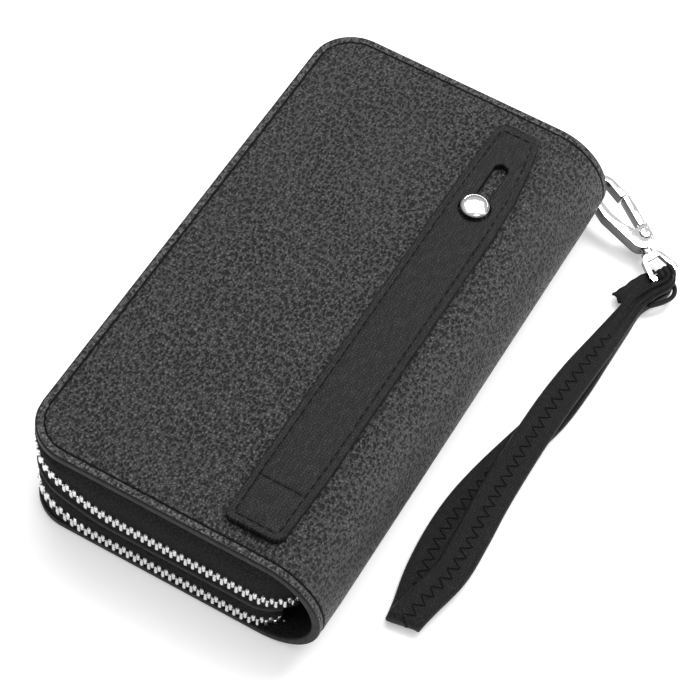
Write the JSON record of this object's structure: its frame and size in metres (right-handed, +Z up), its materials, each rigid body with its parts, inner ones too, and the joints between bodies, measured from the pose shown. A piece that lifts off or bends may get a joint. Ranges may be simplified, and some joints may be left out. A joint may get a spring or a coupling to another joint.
{
  "type": "wristlet wallet",
  "caption": "Zip-around leather wallet with two zipped sections, a hand strap held by a stud, and a clip-on leather wrist loop.",
  "frame": {"origin": "middle of the back cover's outer face, which the wallet lies on", "axes": "+Z up out through the front cover, +Y along the spine towards the end with the wrist loop's D-ring, +X from the zip side to the spine"},
  "size_m": [0.1441, 0.214, 0.0475],
  "materials": {
    "leather": "pebbled, semi-matt",
    "strap_leather": "smooth, semi-matt",
    "lining": "woven twill",
    "pocket_leather": "fine grain",
    "zip_tape": "woven",
    "zip_metal": "polished",
    "chrome": "mirror",
    "loop_leather": "embossed stitch pattern"
  },
  "bodies": {
    "back": {"back_cover": "leather", "back_lining": "lining", "back_card_pockets": "pocket_leather", "back_bill_pocket": "lining", "zip2_lower_tape": "zip_tape", "zip2_lower_teeth": "zip_metal", "zip2_end_stops": "zip_metal", "tab_filler": "leather", "ring_tab": "strap_leather"},
    "divider": {"divider_panel": "lining", "divider_edge": "leather", "spine_strip": "leather", "divider_card_pockets": "pocket_leather", "divider_phone_pocket": "lining", "zip1_lower_tape": "zip_tape", "zip1_lower_teeth": "zip_metal", "zip1_end_stops": "zip_metal", "zip2_upper_tape": "zip_tape", "zip2_upper_teeth": "zip_metal"},
    "front": {"front_cover": "leather", "front_lining": "lining", "front_card_pockets": "pocket_leather", "front_note_pocket": "lining", "zip1_upper_tape": "zip_tape", "zip1_upper_teeth": "zip_metal", "strap_sewn_end": "strap_leather", "stud_post": "chrome", "stud_head": "chrome", "stud_washer": "chrome"},
    "strap_near": {"hand_strap_near": "strap_leather"},
    "strap_far": {"hand_strap_far": "strap_leather"},
    "strap_tab": {"hand_strap_tab": "strap_leather"},
    "zip1_slide_body": {"zip1_slider": "zip_metal"},
    "zip1_pull_body": {"zip1_pull": "zip_metal", "zip1_pull_grip": "strap_leather"},
    "zip2_slide_body": {"zip2_slider": "zip_metal"},
    "zip2_pull_body": {"zip2_pull": "zip_metal", "zip2_pull_grip": "strap_leather"},
    "ring": {"d_ring": "chrome"},
    "clasp": {"clasp_body": "chrome", "gate_pin": "chrome", "gate_spring": "zip_metal"},
    "gate": {"clasp_gate": "chrome"},
    "eye": {"swivel_eye": "chrome"},
    "loop": {"strap_roll": "loop_leather", "wrist_strap": "loop_leather"}
  },
  "joints": [
    {"name": "divider_open", "type": "hinge", "parent": "back", "child": "divider", "pos_m": [0.0539, 0, 0.016], "axis": [0, 1, 0], "range_deg": [0, 60]},
    {"name": "front_open", "type": "hinge", "parent": "divider", "child": "front", "pos_m": [0.0545, 0, 0.021], "axis": [0, 1, 0], "range_deg": [0, 60]},
    {"name": "strap_lift", "type": "hinge", "parent": "front", "child": "strap_near", "pos_m": [0.02515, -0.074, 0.045], "axis": [1, 0, 0], "range_deg": [0, 28]},
    {"name": "strap_arch", "type": "hinge", "parent": "strap_near", "child": "strap_far", "pos_m": [0.02515, -0.015, 0.0423], "axis": [-1, 0, 0], "range_deg": [0, 56]},
    {"name": "strap_tab_turn", "type": "hinge", "parent": "strap_far", "child": "strap_tab", "pos_m": [0.02515, 0.044, 0.045], "axis": [1, 0, 0], "range_deg": [0, 28]},
    {"name": "zip1_slide", "type": "slide", "parent": "divider", "child": "zip1_slide_body", "axis": [-1, 0, 0], "range_m": [0, 0.05]},
    {"name": "zip1_pull_swing", "type": "hinge", "parent": "zip1_slide_body", "child": "zip1_pull_body", "pos_m": [0.02, 0.1031, 0.021], "axis": [0, 0, -1], "range_deg": [0, 120]},
    {"name": "zip2_slide", "type": "slide", "parent": "back", "child": "zip2_slide_body", "axis": [-1, 0, 0], "range_m": [0, 0.05]},
    {"name": "zip2_pull_swing", "type": "hinge", "parent": "zip2_slide_body", "child": "zip2_pull_body", "pos_m": [0.02, 0.1031, 0.0062], "axis": [0, 0, -1], "range_deg": [0, 120]},
    {"name": "ring_swing", "type": "hinge", "parent": "back", "child": "ring", "pos_m": [0.0415, 0.1053, 0.0108], "axis": [0, 0, 1], "range_deg": [0, 60]},
    {"name": "clasp_swing", "type": "hinge", "parent": "ring", "child": "clasp", "pos_m": [0.04875, 0.10868, 0.0108], "axis": [0, 0, 1], "range_deg": [0, 60]},
    {"name": "gate_press", "type": "hinge", "parent": "clasp", "child": "gate", "pos_m": [0.07114, 0.10045, 0.00746], "axis": [0.1261, -0.0588, 0.9903], "range_deg": [0, 18], "stiffness_Nm_per_rad": 0.002, "springref_deg": -17.19},
    {"name": "swivel_turn", "type": "hinge", "parent": "clasp", "child": "eye", "pos_m": [0.07525, 0.09522, 0.00662], "axis": [-0.8975, 0.4185, 0.1392], "range_deg": [0, 120]},
    {"name": "loop_swing", "type": "hinge", "parent": "eye", "child": "loop", "pos_m": [0.08378, 0.09124, 0.0053], "axis": [-0.4226, -0.9063, 0], "range_deg": [0, 35]}
  ],
  "couplings": [
    {"joint": "strap_arch", "follows": "strap_lift", "ratio": 2},
    {"joint": "strap_tab_turn", "follows": "strap_lift", "ratio": 1}
  ]
}
